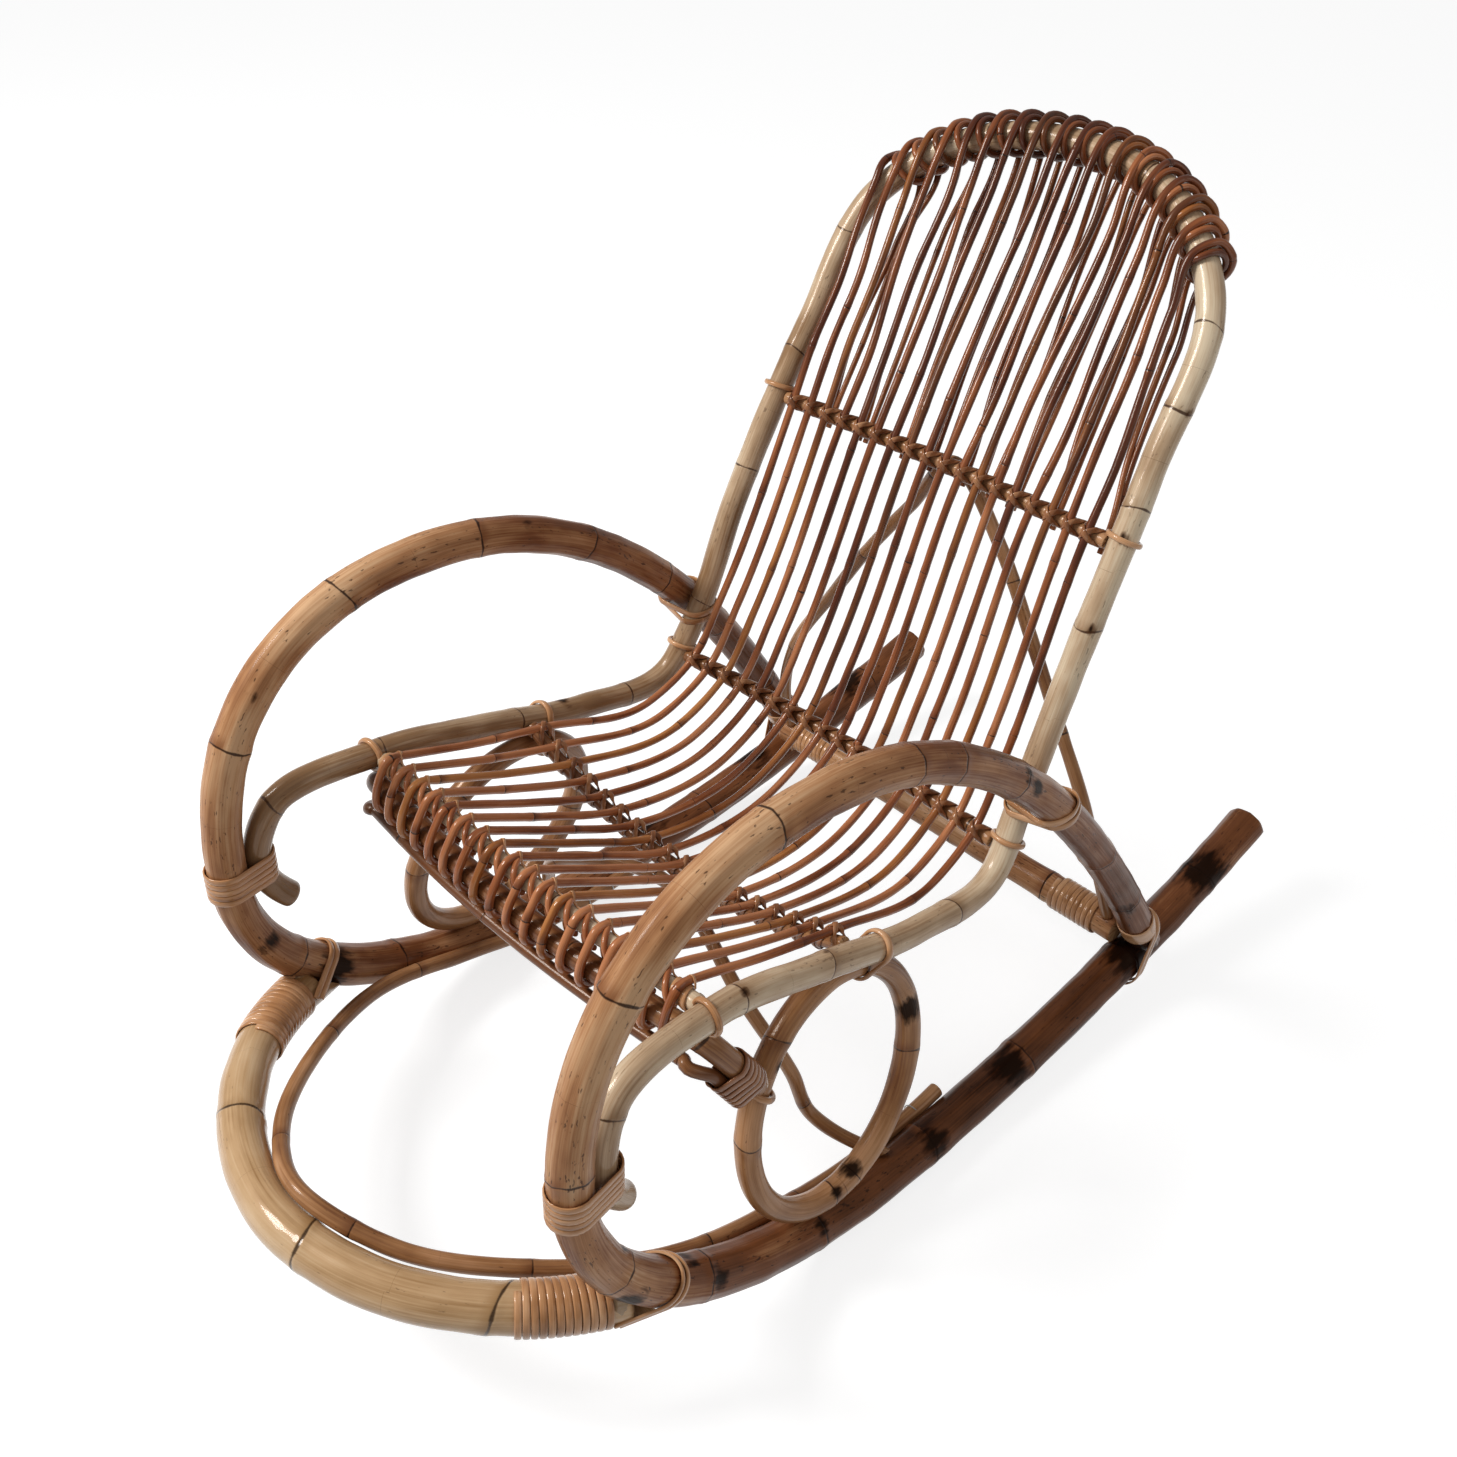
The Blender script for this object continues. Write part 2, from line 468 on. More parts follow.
def bow_offset(half, bow, x):
    r = bow_radius(half, bow)
    return np.sqrt(r ** 2 - np.asarray(x, float) ** 2) - (r - bow)


def bar_points(x, at, half, bow, way):
    x = np.asarray(x, float)
    straight = np.stack([x, 0 * x + at[1], 0 * x + at[2]], -1)
    return straight + bow_offset(half, bow, x)[..., None] * np.array(way)


def upper_c(x):
    return bar_points(x, upper_at, UPPER_HALF, UPPER_BOW, (0, -1.0, 0))


def seat_c(x):
    return bar_points(x, seat_at, SEAT_HALF, SEAT_BOW, (0, 0, -1.0))


def lumbar_c(x):
    return bar_points(x, lumbar_at, LUMBAR_HALF, LUMBAR_BOW, (0, 1.0, 0))


def back_c(x):
    return bar_points(x, back_at, BACK_HALF, BACK_BOW, (0, 1.0, 0))


for name, node, points, half, r, material, slot, seed, tone in (
        ("upper front bar", "front_bar_upper", upper_c, UPPER_END, UPPER_R, pale_rattan, "pale_pole", 51,
         0.44),
        ("bar under the seat", "seat_bar", seat_c, 215.3, SEAT_BAR_R, brown_rattan, "brown_pole", 52, 0.62),
        ("lumbar bar", "lumbar_bar", lumbar_c, 210.9, LUMBAR_R, brown_rattan, "brown_pole", 53, 0.58),
        ("back bar", "back_bar", back_c, 199.3, BACK_BAR_R, brown_rattan, "brown_pole", 54, 0.42)):
    finish_piece(cane_pole(name, points(np.linspace(half, -half, 150)), r, seed, (90, 120), 20, tone=tone),
                 material, slot, node)

# The lower front bar's ends bend back and down to the rings. The under bow hangs below it, tied
# close to it near the ends and clear of it, by a rod's thickness, between them.
LOWER_R, UNDER_R = 11, 6
LOWER_HALF, LOWER_BOW, LOWER_REACH, LOWER_H = 218, 14, 266.31, 346.2
UNDER_WAY, UNDER_TIED, UNDER_CLEAR = np.array([0, -0.35, -1.0]), 17.9, 26.4


def lower_c(x):
    x = np.asarray(x, float)
    return np.stack([x, -LOWER_REACH - bow_offset(LOWER_HALF, LOWER_BOW, x), 0 * x + LOWER_H], -1)


lower_end = np.array([238.55, -215.25, 266.99])
lower_bend = lower_end / 2 + np.array([233, -LOWER_REACH, LOWER_H]) / 2 + [2, -2, 5]
lower_spots = [lower_c(x) for x in (LOWER_HALF, 204, 152.6, 76.3, 0)]
lower_line = bent(both_sides([lower_end, lower_bend] + lower_spots))
finish_piece(cane_pole("lower front bar", lower_line, LOWER_R, 55, (120, 150), 24,
                       tone=[0.5, 0.55, 0.62, 0.65, 0.65, 0.65, 0.62, 0.55, 0.5]),
             brown_rattan, "brown_pole", "front_bar_lower")
lower_run = run_of(lower_line)[-1]
s = np.linspace(20, lower_run - 20, 200)
h = heading(lower_line, s)
drop = np.interp(np.minimum(s, lower_run - s), [62, 84], [UNDER_TIED, UNDER_CLEAR])
under_line = along(lower_line, s) + square_to(UNDER_WAY, h) * drop[:, None]
finish_piece(cane_pole("under bow", under_line, UNDER_R, 56, (110, 140), 18, tone=0.67),
             brown_rattan, "brown_pole", "front_under_bow")

# Rear cross bar: a thick flamed pole between the arm feet, standing on the runners' inner sides.
REAR_R, REAR_REACH, REAR_H, REAR_HALF = 17.5, 345, 92.16, 250.3
rear_bar = np.array([[x, REAR_REACH, REAR_H] for x in np.linspace(REAR_HALF, -REAR_HALF, 120)])
finish_piece(cane_pole("rear cross bar", rear_bar, REAR_R, 57, (130, 150), 28, tone=0.5),
             scorched_rattan, "brown_pole", "rear_cross_bar")

# Braces: hairpins of thin pole, one from the rear bar up to the back bar, one from the runners up
# under the seat, their feet cut to sit on what carries them.
BRACE_R = 7
back_foot_seat, back_foot_normal = np.array([238, 339.18, 106.31]), unit([0, 7, -17])
back_brace = bent(both_sides([
    [238, 338, 109.2], [231, 314, 176], [204, 299, 266], [156, 297, 350], [109, 296, 430], [58, 299, 506],
    [0, 286.5, 580.5]]))
finish_piece(cane_pole("back brace", back_brace, BRACE_R, 61, (150, 170), 18,
                       start_cut=(back_foot_seat, back_foot_normal),
                       end_cut=(flip(back_foot_seat), back_foot_normal)),
             brown_rattan, "brown_pole", "back_brace")
seat_foot_seat, seat_foot_normal = np.array([247.84, -55.86, 41.7]), unit([0.634739, 0, -0.772726])
seat_brace = bent(both_sides([
    [241, -52, 50], [194, -84, 84], [179, -101, 144], [137, -123, 218], [0, -95.74, 261.9]]))
finish_piece(cane_pole("seat brace", seat_brace, BRACE_R, 62, (130, 150), 18,
                       start_cut=(seat_foot_seat, seat_foot_normal),
                       end_cut=(flip(seat_foot_seat), flip(seat_foot_normal))),
             brown_rattan, "brown_pole", "seat_brace")

# Rods: eighteen slender brown rods, each from between the front bars along the seat and up the
# back, aslant over the arch, once more round it as it thins out, and down behind to the next
# rod's place on the back bar. Thin rattan, never quite straight or even.
# FACING, SEAT_WAY and LUMBAR_WAY point from the back, seat and lumbar bar to the rods on it.
ROD_R, ROD_COUNT, ROD_EDGE, LOOP_PITCH, LOOP_SHIFT = 4, 18, 31, 22.4, 7.5
FACING, BACK_LEAN = np.array([0, -0.9, 0.44]), np.array([0, 0.44, 0.9])
SEAT_WAY, LUMBAR_WAY = np.array([0, 0.2, 0.98]), np.array([0, -0.75, 0.66])
# A loop's places: degrees round the arch, how far on along it in loop pitches, mm off its middle.
TOP_PLACE = -0.08
LOOP = [(78, TOP_PLACE, 19.8), (97, 0.08, 21.5), (117, 0.28, 22.9), (139, 0.5, 23.2), (160, 0.62, 22.8),
        (185, 0.72, 21.3), (212, 0.72, 19.3), (240, 0.6, 17.3), (270, 0.4, 16.7), (300, 0.24, 16.6),
        (330, 0.12, 16.6), (355, 0.06, 16.6), (380, 0.05, 16.6), (403, 0.1, 16.6), (425, 0.17, 16.7),
        (448, 0.28, 16.9), (470, 0.38, 17), (495, 0.48, 17.2), (520, 0.5, 17.3), (545, 0.46, 17.5)]


def rod_x(k, edge):
    return (2 * k / (ROD_COUNT - 1) - 1) * (edge - ROD_EDGE)


def round_bar(c, r, degrees, thick=ROD_R):
    a = math.radians(degrees)
    return c + (r + thick + GAP) * np.array([0, math.cos(a), math.sin(a)])


def seat_rest(k):
    x = rod_x(k, seat_at[0])
    slant = math.sqrt(1 - (x / bow_radius(SEAT_HALF, SEAT_BOW)) ** 2)
    return seat_c(x) + (SEAT_BAR_R + ROD_R + 0.7) / slant * SEAT_WAY


def lumbar_rest(k):
    return lumbar_c(rod_x(k, lumbar_at[0])) + (LUMBAR_R + ROD_R + 0.9) * LUMBAR_WAY


def back_rest(k):
    return back_c(rod_x(k, back_at[0])) + (BACK_BAR_R + ROD_R + GAP) * FACING


def loop_at(k, on):
    """Where rod k's loop is along the frame, and on from there in loop pitches."""
    return crown + LOOP_SHIFT + ((ROD_COUNT - 1) / 2 - k - on) * LOOP_PITCH


def loop_point(k, degrees, on, reach):
    """A place on rod k's loop: degrees round the arch, from the face that looks at the seat."""
    s = loop_at(k, on)
    t = heading(frame_line, s)
    n, a = square_to(FACING, t), math.radians(degrees)
    return along(frame_line, s) + reach * (n * math.cos(a) + np.cross(t, n) * math.sin(a))


def over_arch(k, start):
    """Rod k's way over the face of the arch, straight on from start, then its loop and second turn."""
    t = heading(frame_line, loop_at(k, 0))
    way = loop_point(k, *LOOP[0]) - start
    slant = np.clip(-(way @ t) / (way @ np.cross(t, square_to(FACING, t))), -0.2, 2)
    lift, slide = 5 * np.clip(slant / 0.8 - 1, 0, 1), 0.3 * np.clip((k - 8) / 9, 0, 1)
    face = []
    for a, up in ((8, 0.35 * lift), (30, lift), (52, 0.8 + 0.4 * lift)):
        on = TOP_PLACE + slant * (18 * math.sin(math.radians(a)) - 17.6) / LOOP_PITCH
        face.append(loop_point(k, a, on, 17.9 + up))
    return face + [loop_point(k, a, on + slide * np.interp(a, [270, 355, 380, 450], [0, 1, 1, 0]), reach)
                   for a, on, reach in LOOP]


LUMBAR_RUN = 644
before, after = along(frame_line, LUMBAR_RUN - 75), along(frame_line, LUMBAR_RUN + 85)


def rod_line(k, rng):
    """The rod's line, and its thickness from the butt at the front to the thin tip."""
    xf, xs, xl, xb = (rod_x(k, at[0]) for at in (upper_at, seat_at, lumbar_at, back_at))
    low, up, seat, lumbar, back = lower_c(xf), upper_c(xf), seat_rest(k), lumbar_rest(k), back_rest(k)
    sag, out = bow_offset(SEAT_HALF, SEAT_BOW, xs), bow_offset(LUMBAR_HALF, LUMBAR_BOW, xl)
    slope = math.atan2(up[2] + 12 - seat[2] + 4, seat[1] - up[1])
    front = round_bar(up, UPPER_R, 90 - math.degrees(slope))
    leave = np.array([0, math.cos(slope), -math.sin(slope)])
    loop = over_arch(k, back)
    last = k == ROD_COUNT - 1
    next_place = k + (0.4 if last else 1 + rng.uniform(-0.4, 0.75))
    behind = back_c(rod_x(min(next_place, ROD_COUNT - 0.6), back_at[0]))
    behind = behind - (BACK_BAR_R + ROD_R + (3.5 if last else 0)) * FACING
    front_part = np.array(
        [low + [0, 13.5, 15]] + [round_bar(low, LOWER_R, a) for a in range(22, -210, -24)]
        + [round_bar(up, UPPER_R, a) for a in (158, 135, 112, 92)]
        + [front, front + 14 * leave, (front + seat) / 2 - [0, 0, 3], seat,
           [xl / 2 + xs / 2, before[1], before[2] + 9 - sag * 0.3],
           lumbar, [xl * 0.7 + xb * 0.3, after[1] + out - 7, after[2] + 3], back])
    swing = rng.uniform(-1, 1, (5, 2)) * np.array([[3.6, 1.2]] * 3 + [[6, 0]] * 2)
    rise = [back * (1 - f) + loop[0] * f + [swing[i, 0], 0, 0] + swing[i, 1] * FACING
            for i, f in enumerate((0.25, 0.55, 0.8))]
    fall = [loop[-1] * (1 - f) + behind * f + [swing[i + 3, 0], 0, 0] for i, f in enumerate((0.3, 0.7))]
    line = bent(np.vstack([front_part, rise, loop, fall, [behind, behind - 14 * BACK_LEAN]]), 4.0)
    r = run_of(line)
    half_round = loop[8]
    turn = r[np.linalg.norm(line - half_round, axis=1).argmin()]
    return line, np.interp(r, [0, turn - 350, turn, turn + 70, r[-1]], [4.05, 4, 3.75, 3.1, 2.9])


# Thin rattan, stained red-brown and varnished: a narrow bright gloss along each rod, fine streaks,
# and a darker tone up the back. A few rods took the stain less and are honey brown.
rod_rattan = rattan_skin("thin rattan rod, brown, varnished", "#BC7A50", "#93532E", "#5A2A16", "#2D110A",
                         "#1E0E09", gloss=0.27, coat=0.4, blotch=(0.016, 0.1), streak=0.0008, ring_width=0.7,
                         fleck=0.3)
honey_rod_rattan = rattan_skin("thin rattan rod, honey brown, varnished", "#BE7E48", "#9C5E2E", "#64361C",
                               "#341A0E", "#26120A", gloss=0.28, coat=0.4, blotch=(0.016, 0.1),
                               streak=0.0008, ring_width=0.7, fleck=0.3)
HONEY_RODS = (2, 7, 11, 15)
rod_chance = np.random.default_rng(70)
for k in range(ROD_COUNT):
    first = rod_chance.uniform(0.4, 0.57)
    line, thick = rod_line(k, rod_chance)
    tone = [first + more for more in (-0.06, -0.06, 0, 0.08, 0.12, 0.06, 0)]
    finish_piece(cane_pole(f"rod {k + 1:02d}", line, thick, 80 + k, (150, 210), 12, swell=0.09, rough=0.02,
                           tone=tone),
                 honey_rod_rattan if k in HONEY_RODS else rod_rattan, "rod", f"rod_{k + 1:02d}")

# Bindings: split cane, the glossy outer skin of the vine in strips mostly 5 to 7 mm wide, wound
# damp so that it dries tight. Rounded outside, nearly flat inside, with fine fibre lines.
STRIP_W, STRIP_T, STRIP_PITCH, TURN_POINTS = 6.2, 2.0, 6.45, 24
BOW_TURNS, CURL_TURNS, FRONT_TURNS, REAR_TURNS, BAR_TURNS = 12, 5, 6, 9, 2


def cane_strip(name, spots, outs, width, thick, seed, closed=False):
    """A strip along a path: crowned outer face along outs, width across the path."""
    rng = np.random.default_rng(seed)
    t = unit(np.roll(spots, -1, 0) - np.roll(spots, 1, 0)) if closed else unit(np.gradient(spots, axis=0))
    outs = square_to(outs, t)
    across = np.cross(t, outs)
    profile = [(-0.5, -0.4), (-0.5, 0.06), (-0.43, 0.32), (-0.24, 0.46), (0, 0.5), (0.24, 0.46),
               (0.43, 0.32), (0.5, 0.06), (0.5, -0.4), (0, -0.42)]
    s = run_of(spots)
    w = width * (1 + (0 * s if closed else wander(rng, s, 0.05, 160)))
    p = np.stack([spots + across * (u * w)[:, None] + outs * (v * thick) for u, v in profile], 1)
    grain = np.stack([np.stack([0 * s + u * width, 0 * s + v * thick, s + 41 * seed], -1)
                      for u, v in profile], 1)
    tone = np.broadcast_to((0.5 + wander(rng, s, 0.05, 120))[:, None], p.shape[:2])
    ring = np.full(p.shape[:2], NO_RING)
    return cane_mesh("cane " + name, p, closed, skin=grain / 1000, ring=ring, burn=ring * 0, cut_end=ring * 0,
                     tone=tone)


# Split cane is the vine's own glassy skin, varnished: honey-coloured, with fibre lines of 0.5 mm and
# a sharp gloss. The lashings over the rods and the lower front bar's wraps are stained brown.
split_cane = rattan_skin("split cane strip, varnished", "#DEB188", "#C08C60", "#865730", "#43240F", "#43240F",
                         gloss=0.24, coat=0.4, blotch=(0.02, 0.07), streak=0.0005, fleck=0.15)
browned_cane = rattan_skin("split cane strip, browned, varnished", "#BC8A62", "#966240", "#623820",
                           "#38200F", "#2E180C", gloss=0.24, coat=0.4, blotch=(0.02, 0.07), streak=0.0005,
                           fleck=0.15)


def band_point(r1, r2, d, a):
    """A place a radians round two poles, with r1 and r2 as their reach and d between them."""
    second = d * np.cos(a) + r2 > r1
    return (np.where(second, d + r2 * np.cos(a), r1 * np.cos(a)),
            np.where(second, r2 * np.sin(a), r1 * np.sin(a)))


def joined(name, pieces):
    """Several strips as one piece."""
    with bpy.context.temp_override(active_object=pieces[0], selected_editable_objects=pieces):
        bpy.ops.object.join()
    pieces[0].name = name
    return pieces[0]


def wound_strip(name, line, up, turns, r1, r2, d, seed):
    """A strip wound round one pole, or round two whose centres are d apart towards up."""
    n = turns * TURN_POINTS
    total = run_of(line)[-1]
    s = np.linspace(0, total, n + 1)
    h = heading(line, s)
    u = square_to(np.asarray(up, float), h)
    v = np.cross(h, u)
    a = 2 * np.pi * np.arange(n + 1) / TURN_POINTS
    x, y = band_point(r1, r2, d, a)
    spots = along(line, s) + u * x[:, None] + v * y[:, None]
    outs = u * np.cos(a)[:, None] + v * np.sin(a)[:, None]
    return cane_strip(name, spots, outs, STRIP_W, STRIP_T, seed)


def snug(r):
    return r * 1.02 + STRIP_T / 2 + 0.4


CURL_APART = 32
half = CURL_TURNS * STRIP_PITCH / 2
for side, tag in ((1, "right"), (-1, "left")):
    mirror = np.array([side, 1, 1])
    bow_end = along(bow_line, np.linspace(18, 18 + BOW_TURNS * STRIP_PITCH, 64)) * mirror
    curl = np.array([[243.7, -FRONT_REACH, 300 + q] for q in np.linspace(-half, half, 20)]) * mirror
    bar_end = along(lower_line, np.linspace(17, 17 + FRONT_TURNS * STRIP_PITCH, 40)) * mirror
    rear_end = np.array([[228 - q, REAR_REACH, REAR_H]
                         for q in np.linspace(0, REAR_TURNS * STRIP_PITCH, 40)]) * mirror
    for name, node, line, up, turns, r1, r2, d, material, seed in (
            ("foot bow wrap", "foot_wrap", bow_end, (0, 0, 1), BOW_TURNS, snug(BOW_R), snug(BOW_R), 0,
             split_cane, 101),
            ("curl wrap", "curl_wrap", curl, (0, 1, 0), CURL_TURNS, snug(ARM_R) + 0.6, snug(FRAME_R) + 0.8,
             CURL_APART, split_cane, 102),
            ("front bar wrap", "front_wrap", bar_end, UNDER_WAY, FRONT_TURNS, snug(LOWER_R) + 0.5,
             snug(UNDER_R) + 1, UNDER_TIED, browned_cane, 103),
            ("rear bar wrap", "rear_wrap", rear_end, (0, 0, 1), REAR_TURNS, snug(REAR_R), snug(REAR_R), 0,
             split_cane, 104)):
        finish_piece(wound_strip(f"{name} {tag}", line, up, turns, r1, r2, d, seed),
                     material, "cane", f"{node}_{tag}")
    bar_turns = np.array([upper_c(x) for x in np.linspace(188, 209, 20)]) * mirror
    finish_piece(wound_strip(f"front bar turns {tag}", bar_turns, (0, 1, 0), BAR_TURNS, snug(UPPER_R),
                             snug(UPPER_R), 0, 105), split_cane, "cane")


# Lashings: at the seat, lumbar and back bars a strip goes over each rod both ways, so that it
# crosses on the rod's crest, and passes under the bar to the next rod.
LASH_W, LASH_T = 5.2, 1.7


def laid_strip(name, bends, middles, width, thick, seed):
    """A strip through bend points, its outer face away from the middles."""
    spots = bent(bends, 2.2)
    r, at = run_of(spots), run_of(np.asarray(bends))
    middle = np.stack([np.interp(r, at * r[-1] / at[-1], np.asarray(middles)[:, i]) for i in range(3)], -1)
    return cane_strip(name, spots, spots - middle, width, thick, seed)


def crossed_strip(name, bar, edge, r, rest, facing, way, lift, seed):
    """One strand of a lashing: under the bar, up beside each rod, aslant over its crest, down again."""
    rng = np.random.default_rng(seed)
    n = unit(facing)
    m = way * np.cross([1, 0, 0], n)
    gap = 2 * (edge - ROD_EDGE) / (ROD_COUNT - 1)
    bends, middles = [], []
    for k in range(ROD_COUNT):
        x, crest = rod_x(k, edge), rest(k)
        slip = rng.uniform(-0.5, 0.5)
        for dx, degrees, out in ((-gap / 2, 180, 0.6 + lift), (-9, 112, 0.2), (-8, 70, 0.2)):
            a = math.radians(degrees)
            middles.append(bar(x + dx))
            bends.append(bar(x + dx) + (r + LASH_T / 2 + out) * (n * math.cos(a) - m * math.sin(a)))
        for dx, dm, dn in ((-5.3, -5.2, -0.6), (-3.9, -3.5, 3.1), (0, 0, 4.9 + lift), (3.9, 3.5, 3.1),
                           (5.3, 5.2, -0.6)):
            middles.append(crest + m * dm)
            bends.append(crest + [dx + slip, 0, 0] + m * dm + n * dn)
        for dx, degrees, out in ((8, 70, 0.2), (9, 112, 0.2)):
            a = math.radians(degrees)
            middles.append(bar(x + dx))
            bends.append(bar(x + dx) + (r + LASH_T / 2 + out) * (n * math.cos(a) + m * math.sin(a)))
    middles.append(bar(x + gap / 2))
    bends.append(bar(x + gap / 2) - (r + LASH_T / 2 + 0.6 + lift) * n)
    return laid_strip(name, bends, middles, LASH_W, LASH_T, seed)


for name, node, bar, edge, r, rest, facing, seed in (
        ("seat bar lashing", "seat_bar_lashing", seat_c, seat_at[0], SEAT_BAR_R, seat_rest, SEAT_WAY, 120),
        ("lumbar bar lashing", "lumbar_bar_lashing", lumbar_c, lumbar_at[0], LUMBAR_R, lumbar_rest,
         LUMBAR_WAY, 122),
        ("back bar lashing", "back_bar_lashing", back_c, back_at[0], BACK_BAR_R, back_rest, FACING, 124)):
    pair = [crossed_strip(f"{name} {way}", bar, edge, r, rest, facing, way, 0.8 + 0.8 * way, seed + way)
            for way in (1, -1)]
    finish_piece(joined("cane_" + name.replace(" ", "_"), pair), browned_cane, "cane", node)

# Front tails: between the loops a thinner tail comes off each rod's crest, steeper, over the pale
# upper bar and in behind the next loop. A thin strip links the crests along the bar's rear top.
TAIL_R = 2.7
tails = []
for k in range(ROD_COUNT - 1):
    up = upper_c(rod_x(k, upper_at[0]))
    path = bent([round_bar(up + [dx, 0, 0], UPPER_R, degrees, TAIL_R) for dx, degrees in (
        (2.2, 52), (4.6, 74), (7.4, 98), (10.4, 122), (13.4, 146), (16, 170), (18.2, 194), (20, 218),
        (21.2, 242))], 3)
    tails.append(cane_pole(f"front tail {k + 1:02d}", path, TAIL_R, 140 + k, sides=10, swell=0.05, rings=[],
                           tone=0.46))
finish_piece(joined("rattan_front_tails", tails), rod_rattan, "rod")
bends, middles = [], []
for k in range(ROD_COUNT):
    for dx, degrees, out in ((-7.5, 50, 1.2), (0, 56, 9.6), (7.5, 50, 1.2)):
        a, c = math.radians(degrees), upper_c(rod_x(k, upper_at[0]) + dx)
        middles.append(c)
        bends.append(c + (UPPER_R + out) * np.array([0, math.cos(a), math.sin(a)]))
finish_piece(laid_strip("front crest strip", bends, middles, 3.4, 1.2, 160), split_cane, "cane")

# Loops and straps: thick rounded cane round the rails beside the bars, and flat bands that tie
# foot bow, rings, arms and heels to the poles that they cross.
CORD_REACH = 15.6


def band(name, p, axis, up, r1, r2, d, width, thick, seed, k=1.0, k2=1.0, until=None):
    """A band on two poles, d apart towards up, in the plane across axis. k and k2 make them oval, and
    until cuts it off where it would go on past the second pole."""
    z = unit(axis)
    x = square_to(np.asarray(up, float), z)
    a = np.radians(np.arange(3.75, 360, 7.5))
    h, h2 = np.hypot(k * np.cos(a), np.sin(a)), np.hypot(k2 * np.cos(a), np.sin(a))
    far = d * np.cos(a) + r2 * h2 > r1 * h
    ring = np.stack([np.where(far, d + r2 * k2 * k2 * np.cos(a) / h2, r1 * k * k * np.cos(a) / h),
                     np.where(far, r2 * np.sin(a) / h2, r1 * np.sin(a) / h), np.cos(a), np.sin(a)], -1)
    ring = np.vstack([ring, ring[:1]])
    s = run_of(ring[:, :2])
    even = np.linspace(0, s[-1], int(s[-1] / 2.5), endpoint=False)
    u, v, nu, nv = (np.interp(even, s, ring[:, i])[:, None] for i in range(4))
    spots, outs = p + u * x + v * np.cross(z, x), nu * x + nv * np.cross(z, x)
    if until is not None:
        spots, outs = spots[u[:, 0] < until], outs[u[:, 0] < until]
    return cane_strip(name, spots, outs, width, thick, seed, closed=until is None)


def tie_band(name, a, ha, ra, b, hb, rb, shift, width, thick, seed):
    """A band round two crossing poles: a and b are points on them, ha and hb their headings."""
    axis = unit(ha + hb)
    c = axis @ ha
    snug_gap = thick / 2 + 0.5
    grow = snug_gap + width * 0.45 * math.sqrt(1 - c * c) / c
    middle = (a + b) / 2
    pa, pb = a + ha * (((middle - a) @ axis + shift) / c), b + hb * (((middle - b) @ axis + shift) / c)
    apart = (pb - pa) - axis * ((pb - pa) @ axis)
    wide_a, wide_b = ra / c + grow, rb / c + grow
    return band(name, pa, axis, pb - pa, wide_a, wide_b, np.linalg.norm(apart), width, thick, seed,
                (ra + snug_gap) / wide_a, (rb + snug_gap) / wide_b)


def rail_cord(name, s, side, width, thick, seed):
    """A cord round the frame, s mm along it, a little aslant."""
    p, h = along(frame_line, s) * [side, 1, 1], heading(frame_line, s) * [side, 1, 1]
    return band(name, p, h + [0.12 * side, 0, 0.1], (1, 0.2, 0), CORD_REACH, CORD_REACH, 0, width, thick,
                seed)


front_run = run_of(frame_line)[np.linalg.norm(frame_line - upper_c(UPPER_END), axis=1).argmin()]
straps = [rail_cord(f"front rail strap {side}", front_run - 4, side, 5.6, 4.4, seed)
          for side, seed in ((1, 161), (-1, 162))]
finish_piece(joined("cane_front_rail_straps", straps), split_cane, "cane")
loops = [rail_cord(f"rail loop {s:.0f} {side}", s, side, 5.2, 4.2, seed)
         for s, side, seed in ((658, 1, 171), (658, -1, 172), (957.5, 1, 173), (957.5, -1, 174))]
finish_piece(joined("cane_rail_loops", loops), split_cane, "cane", "rail_loops")
FOOT_STRAP, RING_STRAP, ARM_STRAP, HEEL_STRAP, COLLAR = (6.6, 3), (7, 3.6), (7, 2.2), (6.4, 2.2), (25, 1.8)
RING_RUN, ARM_RUN, HEEL_D = 441, 699, 540
ON_RUNNER, ON_HEEL, COLLAR_REACH = 23.3, 19.6, 19.4
knee_heading = np.array([-0.0438639, -0.76079, 0.647514])
bow_heading = unit(bow_line[0] - bow_line[1])
across = unit(0.45 * square_to(knee_heading, bow_heading) + 0.55 * knee_heading)
foot_reach = along(bow_line, 34) - knee
foot_reach = foot_reach - across * (foot_reach @ across)
foot_run, foot_oval = np.linalg.norm(foot_reach), 1.02 / (knee_heading @ across)
arm_a, arm_h = fall_at(348.4), unit(fall_at(345) - fall_at(347))
tie_heading = unit(ring_at(165) - ring_at(171))
heel_axis, heel_spot = unit(np.array([0, 1, -0.22])), np.array([263.9, 348, 50.2])
heel_up = fall_at(549) - heel_spot
heel_up = heel_up - heel_axis * (heel_up @ heel_axis)
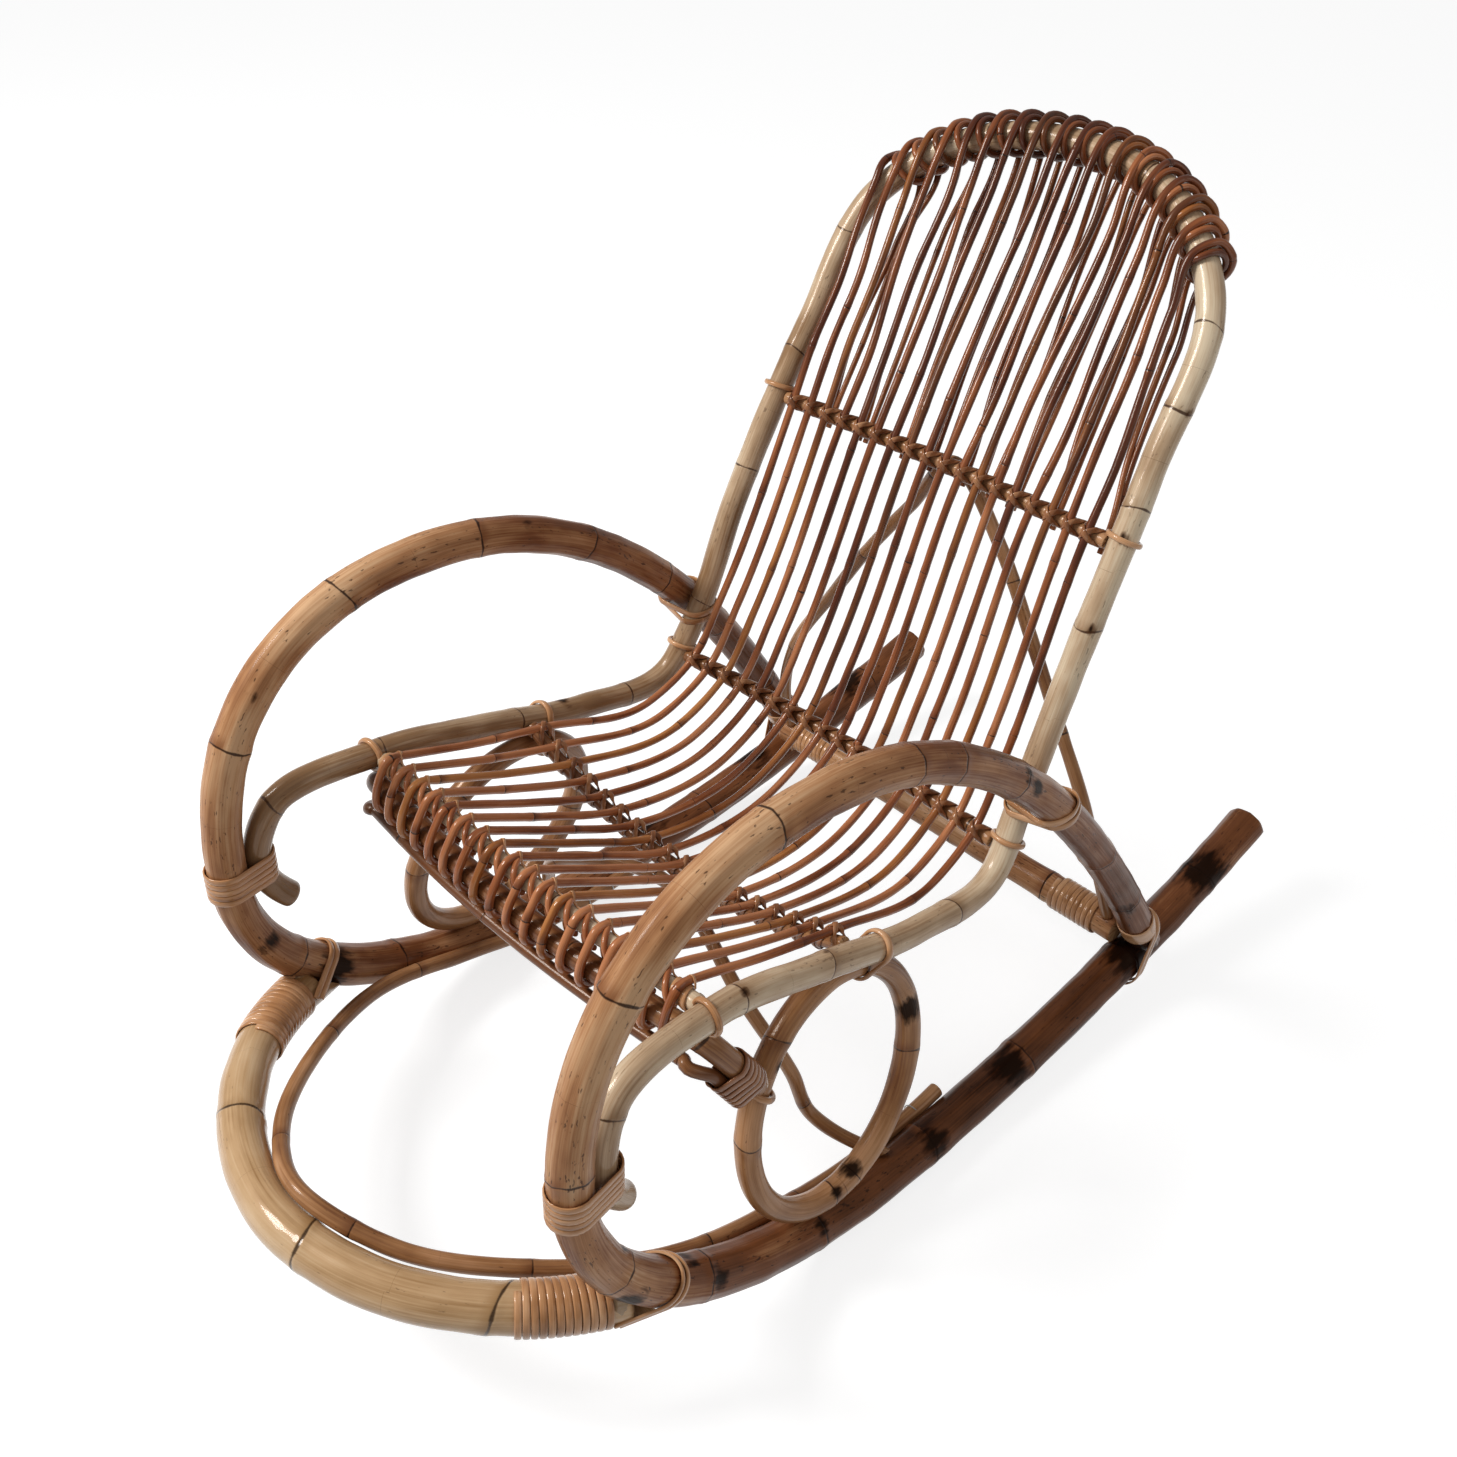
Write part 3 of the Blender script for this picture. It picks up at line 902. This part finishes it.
for side, tag in ((1, "right"), (-1, "left")):
    m = np.array([side, 1, 1])
    foot = [band(f"foot strap {tag} {i}", (knee + knee_heading * (i * 3.6 + 18)) * m, across * m,
                 foot_reach * m, KNEE_R + 1.6, BOW_R + 3, foot_run, *FOOT_STRAP, 181 + i, foot_oval, 1,
                 foot_run * 0.7) for i in (-1, 1)]
    finish_piece(joined(f"cane_foot_straps_{tag}", foot), split_cane, "cane", f"foot_straps_{tag}")
    ring = [tie_band(f"ring top {tag}", along(frame_line, RING_RUN) * m, heading(frame_line, RING_RUN) * m,
                     FRAME_R, ring_at(90) * m, unit(ring_at(86) - ring_at(94)) * m, RING_R, 0, *RING_STRAP,
                     185),
            band(f"ring bar tie {tag}", ring_at(173) * m, (tie_heading + [0.25, 0, 0]) * m, (1, 0, 0),
                 CORD_REACH, CORD_REACH, 0, 6.2, 5, 187)]
    finish_piece(joined(f"cane_ring_straps_{tag}", ring), split_cane, "cane", f"ring_straps_{tag}")
    arm = [tie_band(f"arm tie {tag} {i}", arm_a * m, arm_h * m, ARM_R, along(frame_line, ARM_RUN) * m,
                    heading(frame_line, ARM_RUN) * m, FRAME_R, i * 3.8, *ARM_STRAP, 190 + i) for i in (-1, 1)]
    finish_piece(joined(f"cane_arm_straps_{tag}", arm), split_cane, "cane", f"arm_straps_{tag}")
    heel = [band(f"heel strap {tag} {i}", (heel_spot + [0, i * 3.3, i * 0.8]) * m, heel_axis * m,
                 heel_up * m, ON_RUNNER, ON_HEEL, np.linalg.norm(heel_up), *HEEL_STRAP, 195 + i, 1.04, 1.36)
            for i in (-1, 1)]
    heel.append(band(f"heel collar {tag}", fall_at(HEEL_D) * m,
                     unit(fall_at(HEEL_D + 5) - fall_at(HEEL_D - 5)) * m, (1, 0, 0), COLLAR_REACH,
                     COLLAR_REACH, 0, *COLLAR, 199))
    finish_piece(joined(f"cane_heel_straps_{tag}", heel), split_cane, "cane", f"heel_straps_{tag}")

# Staples: galvanised wire bridges over the inner bow's legs, hammered into the runners. Zinc on
# drawn steel wire gives a dull grey with brighter spots, here about 0.7 mm across.
STAPLE_REACH, STAPLE_R, LEG = 9.3, 0.6, 5.0
wire = bpy.data.materials.new("galvanised steel wire, drawn")
wire.use_nodes = True
t = wire.node_tree
t.nodes.clear()
spots = add(t, "TexCoord")
dull = add(t, "TexNoise", {"Vector": spots.outputs["Object"], "Scale": 1400.0, "Detail": 3.0})
shine = add(t, "ValToRGB", {"Fac": dull.outputs["Fac"]}, stops=[(0.35, "#8C8A86"), (0.7, "#B9B7B2")])
worn = add(t, "MapRange", {"Value": dull.outputs["Fac"], 1: 0.3, 2: 0.7, 3: 0.3, 4: 0.48})
dent = add(t, "Bump", {"Height": dull.outputs["Fac"], "Strength": 0.3, "Distance": 0.0001})
metal = add(t, "BsdfPrincipled", {"Base Color": shine, "Metallic": 1.0, "Roughness": worn, "Normal": dent})
add(t, "OutputMaterial", {"Surface": metal})
staples = []
for y in (-8, 27):
    for side in (1, -1):
        c = inner_line[np.abs(inner_line[:, 1] - y).argmin()] * [side, 1, 1] * [1, 0, 1] + [0, y, 0]
        c[0] = abs(c[0]) * side
        arc = [c + STAPLE_REACH * np.array([-side * math.sin(a), 0, math.cos(a)])
               for a in np.linspace(0, math.pi, 19)]
        leg = np.array([side * LEG, 0, 0])
        staples.append(cane_pole(f"staple {y} {side}", [arc[0] + leg] + arc + [arc[-1] + leg], STAPLE_R, 1,
                                 sides=8, swell=0, rough=0, rings=[]))
finish_piece(joined("wire_staples", staples), wire, "steel", "inner_bow_staples")


# Camera: the photograph's viewing angle. Soft studio light from the front left, and a pale floor.
camera = bpy.data.objects.new("camera", bpy.data.cameras.new("camera"))
bpy.context.scene.collection.objects.link(camera)
camera.data.sensor_width = 36
camera.data.lens = 40.053
right, up = (0.699892, 0.713667, 0.02884), (-0.440886, 0.399903, 0.803553)
back = (0.561936, -0.575115, 0.594534)
place = Matrix.Translation((0.8531, -0.91146, 1.31063))
camera.matrix_world = place @ Matrix((right, up, back)).transposed().to_4x4()
bpy.context.scene.camera = camera

floor = bpy.data.objects.new("floor", bpy.data.meshes.new("floor"))
floor.data.from_pydata([(-6, -6, 0), (6, -6, 0), (6, 6, 0), (-6, 6, 0)], [], [(0, 1, 2, 3)])
bpy.context.scene.collection.objects.link(floor)
# White paper, matt and evenly lit: nearly white to the eye and in the varnish, with a soft shadow.
paper = bpy.data.materials.new("white studio paper")
paper.use_nodes = True
t = paper.node_tree
t.nodes.clear()
path = add(t, "LightPath")
seen = add(t, "Math", {0: path.outputs["Is Camera Ray"], 1: path.outputs["Is Glossy Ray"]},
           operation="MAXIMUM")
glow = add(t, "Math", {0: seen, 1: 0.78}, operation="MULTIPLY")
white = add(t, "Emission", {"Color": (1, 1, 1, 1), "Strength": glow})
matt = add(t, "BsdfDiffuse", {"Color": (0.42, 0.42, 0.42, 1)})
both = add(t, "AddShader", {0: white, 1: matt})
add(t, "OutputMaterial", {"Surface": both})
floor.data.materials.append(paper)

world = bpy.data.worlds.new("studio")
bpy.context.scene.world = world
world.use_nodes = True
t = world.node_tree
t.nodes.clear()
path = add(t, "LightPath")
level = add(t, "MapRange", {"Value": path.outputs["Is Camera Ray"], 3: 0.36, 4: 1.0})
sky = add(t, "Background", {"Color": (1, 1, 1, 1), "Strength": level})
add(t, "OutputWorld", {"Surface": sky})
for name, spot, size, power in (("key", (-1.6, -2.0, 2.6), 1.1, 96), ("fill", (2.4, 0.6, 1.8), 1.6, 7)):
    lamp = bpy.data.lights.new(name, "AREA")
    lamp.size, lamp.energy = size, power
    box = bpy.data.objects.new(name, lamp)
    bpy.context.scene.collection.objects.link(box)
    z = unit(np.array(spot) - [0, 0, 0.4])
    x = unit(np.cross([0, 0, 1], z))
    box.matrix_world = Matrix.Translation(spot) @ Matrix((x, np.cross(z, x), z)).transposed().to_4x4()

bpy.context.scene.view_settings.view_transform = "Standard"
